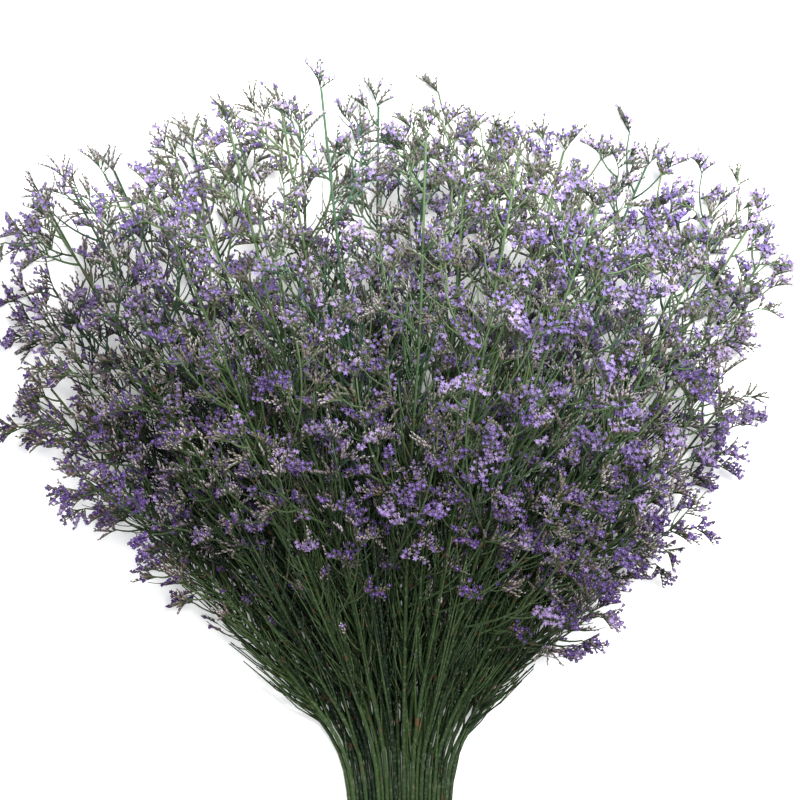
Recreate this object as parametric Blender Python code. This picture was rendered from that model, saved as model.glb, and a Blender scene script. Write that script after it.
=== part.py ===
"""Dried statice: a cut bunch of flowering stems, lying down.

The stems stand close together at a waist, where a hand would hold the bunch, and fan
out from it to the flowers and a little to their cut ends. Y runs along the bunch, from
its cut ends to its flowers, X runs across it and Z runs up from the surface it lies on.
Each stem is grown by rule from seeded draws: alternate branches leave the main stem and
carry one-sided, saw-edged spikes of florets. A draw that would come too near to what
has grown already is drawn again, so no stem crosses another.
"""

import math
import random

import bpy
import numpy as np

MM = 0.001  # metres in a millimetre

# Driving dimensions, in millimetres and degrees
STEMS_IN_LAYERS = (13, 12, 9, 6)  # at the waist, from the lowest layer up
STEM_RADIUS = 1.7  # at the waist
TIP_RADIUS = 0.95
STEM_GAP = 0.5  # between stems of neighbouring layers at the waist
PITCH = 6.7  # between neighbours in a layer there
CUT_END = 104.0  # from the waist down to the cut ends
REACH = 578.0  # from the waist to the outermost flowers
FAN_ANGLE = 40.5  # of the outermost stems, to each side
LEAN_ANGLE = 2.0  # of the whole fan, to the left
LOW_FAN_ANGLE = 11.0  # of the same stems below the waist
HEAP_ANGLE = 18.0  # of the topmost stems, above the lowest
PROP_HEIGHT = 20.0  # by which the lowest sprays lift their stems off the surface
BRANCHES = 6  # on each stem
LONG_BRANCH = 150.0  # from which a branch carries a third spike
BRANCH_RADIUS = 0.95
SPIKE_LENGTH = 26.5
SPIKE_HEIGHT = 12.2
SPIKE_HALF_WIDTH = 2.3
ROOT_RADIUS = 0.42  # of a spike where it starts inside its branch
CLEARANCE = 0.45  # between one stem's growth and another's
PRESSED = 3.0  # by which the surface may flatten a spike that lies on it
SEED = 41

# Worked out from the driving dimensions
LAYER_RISE = math.sqrt((2 * STEM_RADIUS + STEM_GAP) ** 2 - (PITCH / 2) ** 2)
HALF_WAIST = PITCH * (STEMS_IN_LAYERS[0] - 1) / 2
TOP_LAYER = LAYER_RISE * (len(STEMS_IN_LAYERS) - 1)
FAN_RATE = math.tan(math.radians(FAN_ANGLE)) / HALF_WAIST
LEAN_RATE = math.tan(math.radians(LEAN_ANGLE))
LOW_FAN_RATE = math.tan(math.radians(LOW_FAN_ANGLE)) / HALF_WAIST
HEAP_RATE = math.tan(math.radians(HEAP_ANGLE)) / TOP_LAYER
HALF_SIDE = 0.85  # of a square stem, as a share of a round one's radius
AXIS_HEIGHT = STEM_RADIUS * HALF_SIDE  # of a stem that lies on the surface
RING_PLACES = (-10.0, 25.0, 115.0, 235.0, 365.0)  # along the bunch, on every stem

# A spike's outline along and above its axis, as shares of its length and height. The
# florets stand in a row on one side as teeth: tip, notch, tip, notch, tip.
TEETH = ((0.40, 0.95), (0.56, 0.36), (0.74, 1.0), (0.80, 0.40), (1.0, 0.70))
BACK_END = (0.66, -0.10)  # where the two edges of its back stop


def unit(vector):
    return vector / np.linalg.norm(vector)


def smooth_step(value):
    value = min(max(value, 0.0), 1.0)
    return value * value * (3 - 2 * value)


def side_of(direction):
    """The level direction across a given one."""
    return unit(np.cross(direction, (0.0, 0.0, 1.0)))


def turned(vector, axis, angle):
    """A vector turned about an axis that it is square to."""
    return vector * math.cos(angle) + np.cross(axis, vector) * math.sin(angle)


def envelope(bearing):
    """How far the flowers reach at a bearing, in degrees to the right of straight up.

    The outline is near a circle about the waist and falls away at both sides, more to
    the right than to the left. Past the outermost stems there are next to none.
    """
    fall = smooth_step((abs(bearing) - 30) / 18)
    edge = smooth_step((abs(bearing) - 47) / 5)
    return REACH * (1 - (0.42 if bearing > 0 else 0.27) * fall) * (1 - edge)


class Spike:
    """A one-sided spike of florets: where it starts, its axis and the side it faces."""

    def __init__(self, root, growth, side, fork, size):
        """It leaves a growth direction at a fork angle to a side, and faces back across it."""
        self.root = root
        self.axis = growth * math.cos(fork) + side * math.sin(fork)
        self.facing = growth * math.sin(fork) - side * math.cos(fork)
        self.length = SPIKE_LENGTH * size
        self.height = SPIKE_HEIGHT * size
        self.half_width = SPIKE_HALF_WIDTH * size

    def point(self, along, above):
        """A point along and above the axis, as shares of the length and the height."""
        return self.root + self.axis * self.length * along + self.facing * self.height * above

    def rod(self):
        """The round-ended rod that the spike fits in."""
        return self.point(0.34, 0.38), self.point(0.80, 0.38), self.height * 0.66


class Branch:
    """A branch of a main stem: a bent line of three points, and its spikes."""

    def __init__(self, line, spikes):
        self.line = line
        self.spikes = spikes

    def rods(self):
        """Its rods, first the one that starts just outside the main stem."""
        root, bend, tip = self.line
        clear_root = root + unit(bend - root) * (STEM_RADIUS + 2)
        return [(clear_root, bend, BRANCH_RADIUS), (bend, tip, BRANCH_RADIUS)]

    def lies_free(self):
        """Whether it stays above the surface, its spikes pressed at most a little, and
        inside the bunch's outline."""
        for start, end, radius in self.rods():
            if min(start[2], end[2]) - radius < 0.2:
                return False
        for spike in self.spikes:
            start, end, radius = spike.rod()
            if min(start[2], end[2]) - radius * 0.6 < -PRESSED:
                return False
            x, y, z = spike.point(1, 0)
            if math.hypot(x, y) > envelope(math.degrees(math.atan2(x, y))) * 1.02:
                return False
        return True


class Stem:
    """One flowering stem: the line of its main stem, its top spike and its branches."""

    def __init__(self, name, across, up, draw):
        self.name = name
        self.across = across
        self.up = up
        self.sway = draw.uniform(-0.16, 0.16)
        self.bob = draw.uniform(-0.16, 0.16)
        self.wave = draw.uniform(0.010, 0.016)
        self.phase = draw.uniform(0, 2 * math.pi)
        self.bearing = math.degrees(math.atan(FAN_RATE * across - LEAN_RATE))
        self.reach = envelope(self.bearing) * math.cos(math.radians(self.bearing))
        least = 0.93 if up == 0 else 0.76
        length = least + (1 - least) * math.sqrt(draw.random())
        self.top = self.reach * length - SPIKE_LENGTH
        foot = -CUT_END + draw.uniform(0, 9)
        inner = [place for place in RING_PLACES if place < self.top - 40]
        self.line = [self.ring_point(place) for place in (foot, *inner, self.top)]
        self.branches = []
        self.top_spike = self.draw_top_spike(draw)

    def ring_point(self, along):
        """The middle of the main stem where it has a ring, at a distance along the bunch.

        Each stem keeps its own share of the bunch's width and height as the bunch fans
        out, so the stems can't cross. A slow sway of up to a sixth of the room between
        neighbours makes each its own. The sprays prop the stems up half-way and let
        them down again to the flowers.
        """
        ahead = max(along, 0.0)
        wide = math.hypot(1, (FAN_RATE if along > 0 else LOW_FAN_RATE) * along)
        high = math.hypot(1, HEAP_RATE * ahead) * (1 - 0.16 * (ahead / REACH) ** 2)
        share = along / self.reach
        prop = smooth_step((share - 0.04) / 0.45) - 0.92 * smooth_step((share - 0.5) / 0.42)
        swing = math.sin(self.wave * ahead + self.phase) - math.sin(self.phase)
        x = self.across * wide + self.sway * PITCH * (wide - 1) * swing - LEAN_RATE * ahead
        z = self.up * high + self.bob * LAYER_RISE * (high - 1) * swing
        return np.array((x, along, AXIS_HEIGHT + PROP_HEIGHT * prop + z))

    def place(self, along):
        """A point of the main stem's middle and the direction that it grows in there."""
        for start, end in zip(self.line, self.line[1:]):
            if along <= end[1]:
                break
        share = (along - start[1]) / (end[1] - start[1])
        return start + (end - start) * share, unit(end - start)

    def radius(self, along):
        """The main stem thins slowly towards its tip."""
        return STEM_RADIUS + (TIP_RADIUS - STEM_RADIUS) * smooth_step(along / self.top)

    def rods(self):
        return [(a, b, self.radius(a[1])) for a, b in zip(self.line, self.line[1:])]

    def draw_top_spike(self, draw):
        """The spike that ends the main stem."""
        tip, growth = self.place(self.top)
        side = turned(side_of(growth), growth, draw.uniform(-0.5, 0.5)) * draw.choice((-1, 1))
        fork = math.radians(draw.uniform(10, 22))
        return Spike(tip - growth * 1.5, growth, side, fork, draw.uniform(0.95, 1.15))

    def draw_branch(self, order, draw, shrink):
        """A branch that leaves at 30 to 50 degrees and bends back towards the stem's way.

        Low branches are long and high ones short, so the spray widens evenly. Its
        spikes stand to the left and the right in turn, from the tip back.
        """
        share = 0.33 + 0.58 * (order + draw.uniform(-0.35, 0.35)) / (BRANCHES - 1)
        along = self.top * share
        root, growth = self.place(along)
        turn = draw.uniform(-0.75, 0.75) + (math.pi if order % 2 else 0)
        outward = turned(side_of(growth), growth, turn)
        angle = math.radians(draw.uniform(30, 50))
        length = (34 + 0.42 * (self.top - along)) * draw.uniform(0.75, 1.1) * shrink
        first = growth * math.cos(angle) + outward * math.sin(angle)
        second = growth * math.cos(angle / 2) + outward * math.sin(angle / 2)
        bend = root + first * length / 2
        tip = bend + second * length / 2
        hand = draw.choice((-1, 1))
        spikes = []
        for place in range(3 if length > LONG_BRANCH else 2):
            back = min(place * draw.uniform(15, 20), length / 2 - 1)
            side = turned(side_of(second), second, draw.uniform(-0.6, 0.6)) * hand
            fork = math.radians(draw.uniform(52, 64) if place else draw.uniform(12, 30))
            spikes.append(Spike(tip - second * back, second, side, fork, draw.uniform(0.9, 1.1)))
            hand = -hand
        return Branch((root, bend, tip), spikes)


class Room:
    """What has grown so far, as round-ended rods, each with its stem and part of it."""

    def __init__(self):
        self.starts = np.zeros((0, 3))
        self.ends = np.zeros((0, 3))
        self.radii = np.zeros(0)
        self.owners = np.zeros(0, int)
        self.is_main = np.zeros(0, bool)
        self.spike_places = np.zeros((0, 3))

    def add(self, rods, owner, is_main=False):
        for start, end, radius in rods:
            self.starts = np.vstack((self.starts, start))
            self.ends = np.vstack((self.ends, end))
            self.radii = np.append(self.radii, radius)
            self.owners = np.append(self.owners, owner)
            self.is_main = np.append(self.is_main, is_main)

    def add_spike(self, spike, owner):
        self.add([spike.rod()], owner)
        self.spike_places = np.vstack((self.spike_places, spike.point(0.6, 0.4)))

    def distances(self, start, end):
        """The least distance from one segment to the middle line of every rod.

        The nearest points of the two endless lines are found first, then kept inside
        both segments in turn.
        """
        along = end - start
        others = self.ends - self.starts
        offset = start - self.starts
        own_square = along @ along
        squares = np.einsum("ij,ij->i", others, others)
        towards = np.einsum("ij,ij->i", others, offset)
        back = offset @ along
        shared = others @ along
        bottom = np.maximum(own_square * squares - shared * shared, 1e-9)
        here = np.clip((shared * towards - back * squares) / bottom, 0, 1)
        there = np.clip((shared * here + towards) / squares, 0, 1)
        here = np.clip((shared * there - back) / own_square, 0, 1)
        gap = offset + here[:, None] * along - there[:, None] * others
        return np.linalg.norm(gap, axis=1)

    def has_space(self, rod, owner, leaves_main=False):
        """Whether a rod keeps clear of every other rod, but its own main stem if it
        leaves that."""
        start, end, radius = rod
        gaps = self.distances(start, end) - radius - self.radii
        if leaves_main:
            gaps = gaps[~(self.is_main & (self.owners == owner))]
        return gaps.min() > CLEARANCE

    def takes(self, branch, owner):
        """Whether there is room for a branch and all its spikes."""
        first, second = branch.rods()
        return (
            branch.lies_free()
            and self.has_space(first, owner, leaves_main=True)
            and self.has_space(second, owner)
            and all(self.has_space(spike.rod(), owner) for spike in branch.spikes)
        )

    def emptiness(self, branch):
        """How far a branch's spikes stay from those there are, seen mostly from above."""
        weight = np.array((1.0, 1.0, 0.45))
        ends = np.array([spike.point(0.6, 0.4) for spike in branch.spikes])
        apart = (self.spike_places[None] - ends[:, None]) * weight
        return np.linalg.norm(apart, axis=2).min()


def grow_branch(stem, owner, order, room, draw):
    """Of several drawn branches with room, the one that best fills the bunch's gaps."""
    best = None
    most = -1.0
    found = 0
    for attempt in range(70):
        branch = stem.draw_branch(order, draw, 1 - 0.6 * attempt / 70)
        if not room.takes(branch, owner):
            continue
        found += 1
        if room.emptiness(branch) > most:
            best, most = branch, room.emptiness(branch)
        if found == 7:
            break
    if best is None:
        return
    stem.branches.append(best)
    room.add(best.rods(), owner)
    for spike in best.spikes:
        room.add_spike(spike, owner)


def grow_bunch():
    """All the stems, grown branch by branch in turn, so that each finds room."""
    draw = random.Random(SEED)
    stems = []
    for layer, count in enumerate(STEMS_IN_LAYERS):
        for place in range(count):
            across = PITCH * (place - (count - 1) / 2)
            name = f"stem_{len(stems) + 1:02d}"
            stems.append(Stem(name, across, LAYER_RISE * layer, draw))
    room = Room()
    for owner, stem in enumerate(stems):
        room.add(stem.rods(), owner, is_main=True)
        room.add_spike(stem.top_spike, owner)
    for order in range(BRANCHES):
        for owner, stem in enumerate(stems):
            grow_branch(stem, owner, order, room, draw)
    return stems


def bunch_middle(stems):
    """The middle of the bunch's length and width, between its outermost florets and ends."""
    reaches = [stem.line[0][:2] for stem in stems]
    for stem in stems:
        for spike in [stem.top_spike, *(spike for branch in stem.branches for spike in branch.spikes)]:
            reaches += [spike.point(*tooth)[:2] for tooth in TEETH]
    across, along = (np.min(reaches, axis=0) + np.max(reaches, axis=0)) / 2
    return np.array((across, along, 0.0))


def main_stem_mesh(stem):
    """A tapering tube along the main stem, with four flat sides, one of them down.

    Its rings are upright rectangles, square to the bunch and wider where the stem
    slants, so that every side between two rings is flat.
    """
    line = stem.line
    points = []
    faces = []
    for index, centre in enumerate(line):
        before = line[max(index - 1, 0)]
        after = line[min(index + 1, len(line) - 1)]
        x, y, z = unit(after - before)
        half = stem.radius(centre[1]) * HALF_SIDE
        wide = half * math.hypot(x, y) / y
        high = half * math.hypot(z, y) / y
        for right, up in ((wide, high), (-wide, high), (-wide, -high), (wide, -high)):
            points.append(centre + np.array((right, 0.0, up)))
    last = 4 * (len(line) - 1)
    for ring in range(0, last, 4):
        for corner in range(4):
            after = (corner + 1) % 4
            faces.append((ring + corner, ring + 4 + corner, ring + 4 + after, ring + after))
    faces.append((0, 1, 2, 3))
    faces.append((last + 3, last + 2, last + 1, last))
    return points, faces


def spike_mesh(line, radius, spike):
    """A three-sided branch along a line that ends in a spike, as one closed solid.

    The branch is one triangle moved along the line, so its sides are flat. Its front
    corner is on the spike's facing side. The spike's front edge zigzags over the teeth
    and its back stays straight.
    """
    growth = unit(line[-1] - line[0]) if len(line) > 1 else spike.axis
    front = unit(spike.facing - growth * (spike.facing @ growth))
    side = np.cross(growth, front)
    triangle = (front, -front / 2 - side * 0.87, -front / 2 + side * 0.87)
    points = [centre + corner * radius for centre in line for corner in triangle]
    faces = [(0, 1, 2)]
    for ring in range(0, 3 * (len(line) - 1), 3):
        for corner in range(3):
            after = (corner + 1) % 3
            faces.append((ring + corner, ring + 3 + corner, ring + 3 + after, ring + after))
    front, left, right = range(len(points) - 3, len(points))
    edge = [front, *range(len(points), len(points) + len(TEETH))]
    points += [spike.point(along, above) for along, above in TEETH]
    left_end, right_end = len(points), len(points) + 1
    back = spike.point(*BACK_END)
    across = np.cross(spike.axis, spike.facing) * spike.half_width
    points += [back - across, back + across]
    for start, end, step in ((left, left_end, 1), (right, right_end, -1)):
        fan = [(start, edge[0], edge[1]), (start, edge[1], end)]
        fan += [(end, near, far) for near, far in zip(edge[1:], edge[2:])]
        faces += [face[::step] for face in fan]
    faces += [(left, left_end, right_end, right), (left_end, edge[-1], right_end)]
    return points, faces


def add_object(name, points, faces, middle, collection):
    """A mesh object of points in millimetres, about the bunch's middle.

    What would pass the surface is pressed flat on it.
    """
    places = np.array(points)
    places[:, 2] = np.maximum(places[:, 2], 0.0)
    mesh = bpy.data.meshes.new(name)
    mesh.from_pydata(((places - middle) * MM).tolist(), [], faces)
    thing = bpy.data.objects.new(name, mesh)
    collection.objects.link(thing)
    return thing


def fuse(body, growth):
    """Joins a stem's branches and spikes to it as one solid, and removes their objects."""
    modifier = body.modifiers.new("growth", "BOOLEAN")
    modifier.operation = "UNION"
    modifier.operand_type = "COLLECTION"
    modifier.collection = growth
    modifier.solver = "EXACT"
    graph = bpy.context.evaluated_depsgraph_get()
    fused = bpy.data.meshes.new_from_object(body.evaluated_get(graph))
    body.modifiers.clear()
    body.data = fused
    for thing in list(growth.objects):
        bpy.data.objects.remove(thing)
    bpy.data.collections.remove(growth)


def statice_material(name):
    """Dry violet florets over grey-green stems, as one dull, papery colour."""
    material = bpy.data.materials.new(name)
    material.use_nodes = True
    shader = material.node_tree.nodes["Principled BSDF"]
    shader.inputs["Base Color"].default_value = (0.20, 0.17, 0.27, 1.0)
    shader.inputs["Roughness"].default_value = 0.85
    return material


def build_stem(stem, middle):
    """One stem's main tube, with its branches and spikes fused to it."""
    scene = bpy.context.scene.collection
    body = add_object(stem.name, *main_stem_mesh(stem), middle, scene)
    growth = bpy.data.collections.new(stem.name + " growth")
    scene.children.link(growth)
    rooted = [stem.top_spike]
    for branch in stem.branches:
        tip_spike, *side_spikes = branch.spikes
        add_object("branch", *spike_mesh(branch.line, BRANCH_RADIUS, tip_spike), middle, growth)
        rooted += side_spikes
    for spike in rooted:
        add_object("spike", *spike_mesh([spike.root], ROOT_RADIUS, spike), middle, growth)
    fuse(body, growth)
    body.data.materials.clear()
    body.data.materials.append(statice_material(stem.name))


def main():
    for thing in list(bpy.data.objects):
        bpy.data.objects.remove(thing)
    stems = grow_bunch()
    middle = bunch_middle(stems)
    for stem in stems:
        build_stem(stem, middle)


main()
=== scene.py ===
import math
import random

import bpy
import numpy as np
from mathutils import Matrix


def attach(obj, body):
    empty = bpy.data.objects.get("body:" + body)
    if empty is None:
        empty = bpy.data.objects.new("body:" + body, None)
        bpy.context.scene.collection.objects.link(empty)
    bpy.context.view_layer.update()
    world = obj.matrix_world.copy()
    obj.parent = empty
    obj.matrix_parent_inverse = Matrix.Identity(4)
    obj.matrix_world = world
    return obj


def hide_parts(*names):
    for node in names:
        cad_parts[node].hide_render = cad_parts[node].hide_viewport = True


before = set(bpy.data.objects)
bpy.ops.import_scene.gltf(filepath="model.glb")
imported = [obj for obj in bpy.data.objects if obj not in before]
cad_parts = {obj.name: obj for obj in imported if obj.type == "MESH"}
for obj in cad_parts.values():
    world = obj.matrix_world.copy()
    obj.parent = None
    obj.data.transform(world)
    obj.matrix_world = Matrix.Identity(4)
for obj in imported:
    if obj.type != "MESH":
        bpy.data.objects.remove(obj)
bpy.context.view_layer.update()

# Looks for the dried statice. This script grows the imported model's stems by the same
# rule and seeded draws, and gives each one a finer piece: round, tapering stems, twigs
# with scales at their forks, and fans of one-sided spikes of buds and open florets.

MM = 0.001  # metres in a millimetre

# Driving dimensions, in millimetres and degrees
STEMS_IN_LAYERS = (13, 12, 9, 6)  # at the waist, from the lowest layer up
STEM_RADIUS = 1.7  # at the waist
TIP_RADIUS = 0.95
STEM_GAP = 0.5  # between stems of neighbouring layers at the waist
PITCH = 6.7  # between neighbours in a layer there
CUT_END = 104.0  # from the waist down to the cut ends
REACH = 578.0  # from the waist to the outermost flowers
FAN_ANGLE = 40.5  # of the outermost stems, to each side
LEAN_ANGLE = 2.0  # of the whole fan, to the left
LOW_FAN_ANGLE = 11.0  # of the same stems below the waist
HEAP_ANGLE = 18.0  # of the topmost stems, above the lowest
PROP_HEIGHT = 20.0  # by which the lowest sprays lift their stems off the surface
BRANCHES = 6  # on each stem
LONG_BRANCH = 150.0  # from which a branch carries a third spike
BRANCH_RADIUS = 0.95
SPIKE_LENGTH = 26.5  # of a saw-edged spike
SPIKE_HEIGHT = 12.2
CLEARANCE = 0.45  # between one stem's growth and another's
PRESSED = 3.0  # by which the surface may flatten a spike that lies on it
SEED = 41

# Worked out from the driving dimensions
LAYER_RISE = math.sqrt((2 * STEM_RADIUS + STEM_GAP) ** 2 - (PITCH / 2) ** 2)
HALF_WAIST = PITCH * (STEMS_IN_LAYERS[0] - 1) / 2
TOP_LAYER = LAYER_RISE * (len(STEMS_IN_LAYERS) - 1)
FAN_RATE = math.tan(math.radians(FAN_ANGLE)) / HALF_WAIST
LEAN_RATE = math.tan(math.radians(LEAN_ANGLE))
LOW_FAN_RATE = math.tan(math.radians(LOW_FAN_ANGLE)) / HALF_WAIST
HEAP_RATE = math.tan(math.radians(HEAP_ANGLE)) / TOP_LAYER
HALF_SIDE = 0.85  # of a square stem, as a share of a round one's radius
AXIS_HEIGHT = STEM_RADIUS * HALF_SIDE  # of a stem that lies on the surface
RING_PLACES = (-10.0, 25.0, 115.0, 235.0, 365.0)  # along the bunch, on every stem

# A spike's outline along and above its axis, as shares of its length and height. The
# florets stand in a row on one side as teeth: tip, notch, tip, notch, tip.
TEETH = ((0.40, 0.95), (0.56, 0.36), (0.74, 1.0), (0.80, 0.40), (1.0, 0.70))


def unit(vector):
    return vector / np.linalg.norm(vector)


def smooth_step(value):
    value = min(max(value, 0.0), 1.0)
    return value * value * (3 - 2 * value)


def side_of(direction):
    """The level direction across a given one."""
    return unit(np.cross(direction, (0.0, 0.0, 1.0)))


def turned(vector, axis, angle):
    """A vector turned about an axis that it is square to."""
    return vector * math.cos(angle) + np.cross(axis, vector) * math.sin(angle)


def envelope(bearing):
    """How far the flowers reach at a bearing, in degrees to the right of straight up.

    The outline is near a circle about the waist and falls away at both sides, more to
    the right than to the left. Past the outermost stems there are next to none.
    """
    fall = smooth_step((abs(bearing) - 30) / 18)
    edge = smooth_step((abs(bearing) - 47) / 5)
    return REACH * (1 - (0.42 if bearing > 0 else 0.27) * fall) * (1 - edge)


class Spike:
    """A one-sided spike of florets: where it starts, its axis and the side it faces."""

    def __init__(self, root, growth, side, fork, size):
        """It leaves a growth direction at a fork angle to a side, and faces back across it."""
        self.root = root
        self.axis = growth * math.cos(fork) + side * math.sin(fork)
        self.facing = growth * math.sin(fork) - side * math.cos(fork)
        self.length = SPIKE_LENGTH * size
        self.height = SPIKE_HEIGHT * size

    def point(self, along, above):
        """A point along and above the axis, as shares of the length and the height."""
        return self.root + self.axis * self.length * along + self.facing * self.height * above

    def rod(self):
        """The round-ended rod that the spike fits in."""
        return self.point(0.34, 0.38), self.point(0.80, 0.38), self.height * 0.66


class Branch:
    """A branch of a main stem: a bent line of three points, and its spikes."""

    def __init__(self, line, spikes):
        self.line = line
        self.spikes = spikes

    def rods(self):
        """Its rods, first the one that starts just outside the main stem."""
        root, bend, tip = self.line
        clear_root = root + unit(bend - root) * (STEM_RADIUS + 2)
        return [(clear_root, bend, BRANCH_RADIUS), (bend, tip, BRANCH_RADIUS)]

    def lies_free(self):
        """Whether it stays above the surface, its spikes pressed at most a little, and
        inside the bunch's outline."""
        for start, end, radius in self.rods():
            if min(start[2], end[2]) - radius < 0.2:
                return False
        for spike in self.spikes:
            start, end, radius = spike.rod()
            if min(start[2], end[2]) - radius * 0.6 < -PRESSED:
                return False
            x, y, z = spike.point(1, 0)
            if math.hypot(x, y) > envelope(math.degrees(math.atan2(x, y))) * 1.02:
                return False
        return True


class Stem:
    """One flowering stem: the line of its main stem, its top spike and its branches."""

    def __init__(self, name, across, up, draw):
        self.name = name
        self.across = across
        self.up = up
        self.sway = draw.uniform(-0.16, 0.16)
        self.bob = draw.uniform(-0.16, 0.16)
        self.wave = draw.uniform(0.010, 0.016)
        self.phase = draw.uniform(0, 2 * math.pi)
        self.bearing = math.degrees(math.atan(FAN_RATE * across - LEAN_RATE))
        self.reach = envelope(self.bearing) * math.cos(math.radians(self.bearing))
        least = 0.93 if up == 0 else 0.76
        length = least + (1 - least) * math.sqrt(draw.random())
        self.top = self.reach * length - SPIKE_LENGTH
        foot = -CUT_END + draw.uniform(0, 9)
        inner = [place for place in RING_PLACES if place < self.top - 40]
        self.line = [self.ring_point(place) for place in (foot, *inner, self.top)]
        self.branches = []
        self.top_spike = self.draw_top_spike(draw)

    def ring_point(self, along):
        """The middle of the main stem where it has a ring, at a distance along the bunch.

        Each stem keeps its own share of the bunch's width and height as the bunch fans
        out, so the stems can't cross. A slow sway of up to a sixth of the room between
        neighbours makes each its own. The sprays prop the stems up half-way and let
        them down again to the flowers.
        """
        ahead = max(along, 0.0)
        wide = math.hypot(1, (FAN_RATE if along > 0 else LOW_FAN_RATE) * along)
        high = math.hypot(1, HEAP_RATE * ahead) * (1 - 0.16 * (ahead / REACH) ** 2)
        share = along / self.reach
        prop = smooth_step((share - 0.04) / 0.45) - 0.92 * smooth_step((share - 0.5) / 0.42)
        swing = math.sin(self.wave * ahead + self.phase) - math.sin(self.phase)
        x = self.across * wide + self.sway * PITCH * (wide - 1) * swing - LEAN_RATE * ahead
        z = self.up * high + self.bob * LAYER_RISE * (high - 1) * swing
        return np.array((x, along, AXIS_HEIGHT + PROP_HEIGHT * prop + z))

    def place(self, along):
        """A point of the main stem's middle and the direction that it grows in there."""
        for start, end in zip(self.line, self.line[1:]):
            if along <= end[1]:
                break
        share = (along - start[1]) / (end[1] - start[1])
        return start + (end - start) * share, unit(end - start)

    def radius(self, along):
        """The main stem thins slowly towards its tip."""
        return STEM_RADIUS + (TIP_RADIUS - STEM_RADIUS) * smooth_step(along / self.top)

    def rods(self):
        return [(a, b, self.radius(a[1])) for a, b in zip(self.line, self.line[1:])]

    def draw_top_spike(self, draw):
        """The spike that ends the main stem."""
        tip, growth = self.place(self.top)
        side = turned(side_of(growth), growth, draw.uniform(-0.5, 0.5)) * draw.choice((-1, 1))
        fork = math.radians(draw.uniform(10, 22))
        return Spike(tip - growth * 1.5, growth, side, fork, draw.uniform(0.95, 1.15))

    def draw_branch(self, order, draw, shrink):
        """A branch that leaves at 30 to 50 degrees and bends back towards the stem's way.

        Low branches are long and high ones short, so the spray widens evenly. Its
        spikes stand to the left and the right in turn, from the tip back.
        """
        share = 0.33 + 0.58 * (order + draw.uniform(-0.35, 0.35)) / (BRANCHES - 1)
        along = self.top * share
        root, growth = self.place(along)
        turn = draw.uniform(-0.75, 0.75) + (math.pi if order % 2 else 0)
        outward = turned(side_of(growth), growth, turn)
        angle = math.radians(draw.uniform(30, 50))
        length = (34 + 0.42 * (self.top - along)) * draw.uniform(0.75, 1.1) * shrink
        first = growth * math.cos(angle) + outward * math.sin(angle)
        second = growth * math.cos(angle / 2) + outward * math.sin(angle / 2)
        bend = root + first * length / 2
        tip = bend + second * length / 2
        hand = draw.choice((-1, 1))
        spikes = []
        for place in range(3 if length > LONG_BRANCH else 2):
            back = min(place * draw.uniform(15, 20), length / 2 - 1)
            side = turned(side_of(second), second, draw.uniform(-0.6, 0.6)) * hand
            fork = math.radians(draw.uniform(52, 64) if place else draw.uniform(12, 30))
            spikes.append(Spike(tip - second * back, second, side, fork, draw.uniform(0.9, 1.1)))
            hand = -hand
        return Branch((root, bend, tip), spikes)


class Room:
    """What has grown so far, as round-ended rods, each with its stem and part of it."""

    def __init__(self):
        self.starts = np.zeros((0, 3))
        self.ends = np.zeros((0, 3))
        self.radii = np.zeros(0)
        self.owners = np.zeros(0, int)
        self.is_main = np.zeros(0, bool)
        self.spike_places = np.zeros((0, 3))

    def add(self, rods, owner, is_main=False):
        for start, end, radius in rods:
            self.starts = np.vstack((self.starts, start))
            self.ends = np.vstack((self.ends, end))
            self.radii = np.append(self.radii, radius)
            self.owners = np.append(self.owners, owner)
            self.is_main = np.append(self.is_main, is_main)

    def add_spike(self, spike, owner):
        self.add([spike.rod()], owner)
        self.spike_places = np.vstack((self.spike_places, spike.point(0.6, 0.4)))

    def distances(self, start, end):
        """The least distance from one segment to the middle line of every rod.

        The nearest points of the two endless lines are found first, then kept inside
        both segments in turn.
        """
        along = end - start
        others = self.ends - self.starts
        offset = start - self.starts
        own_square = along @ along
        squares = np.einsum("ij,ij->i", others, others)
        towards = np.einsum("ij,ij->i", others, offset)
        back = offset @ along
        shared = others @ along
        bottom = np.maximum(own_square * squares - shared * shared, 1e-9)
        here = np.clip((shared * towards - back * squares) / bottom, 0, 1)
        there = np.clip((shared * here + towards) / squares, 0, 1)
        here = np.clip((shared * there - back) / own_square, 0, 1)
        gap = offset + here[:, None] * along - there[:, None] * others
        return np.linalg.norm(gap, axis=1)

    def has_space(self, rod, owner, leaves_main=False):
        """Whether a rod keeps clear of every other rod, but its own main stem if it
        leaves that."""
        start, end, radius = rod
        gaps = self.distances(start, end) - radius - self.radii
        if leaves_main:
            gaps = gaps[~(self.is_main & (self.owners == owner))]
        return gaps.min() > CLEARANCE

    def takes(self, branch, owner):
        """Whether there is room for a branch and all its spikes."""
        first, second = branch.rods()
        return (
            branch.lies_free()
            and self.has_space(first, owner, leaves_main=True)
            and self.has_space(second, owner)
            and all(self.has_space(spike.rod(), owner) for spike in branch.spikes)
        )

    def emptiness(self, branch):
        """How far a branch's spikes stay from those there are, seen mostly from above."""
        weight = np.array((1.0, 1.0, 0.45))
        ends = np.array([spike.point(0.6, 0.4) for spike in branch.spikes])
        apart = (self.spike_places[None] - ends[:, None]) * weight
        return np.linalg.norm(apart, axis=2).min()


def grow_branch(stem, owner, order, room, draw):
    """Of several drawn branches with room, the one that best fills the bunch's gaps."""
    best = None
    most = -1.0
    found = 0
    for attempt in range(70):
        branch = stem.draw_branch(order, draw, 1 - 0.6 * attempt / 70)
        if not room.takes(branch, owner):
            continue
        found += 1
        if room.emptiness(branch) > most:
            best, most = branch, room.emptiness(branch)
        if found == 7:
            break
    if best is None:
        return
    stem.branches.append(best)
    room.add(best.rods(), owner)
    for spike in best.spikes:
        room.add_spike(spike, owner)


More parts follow.
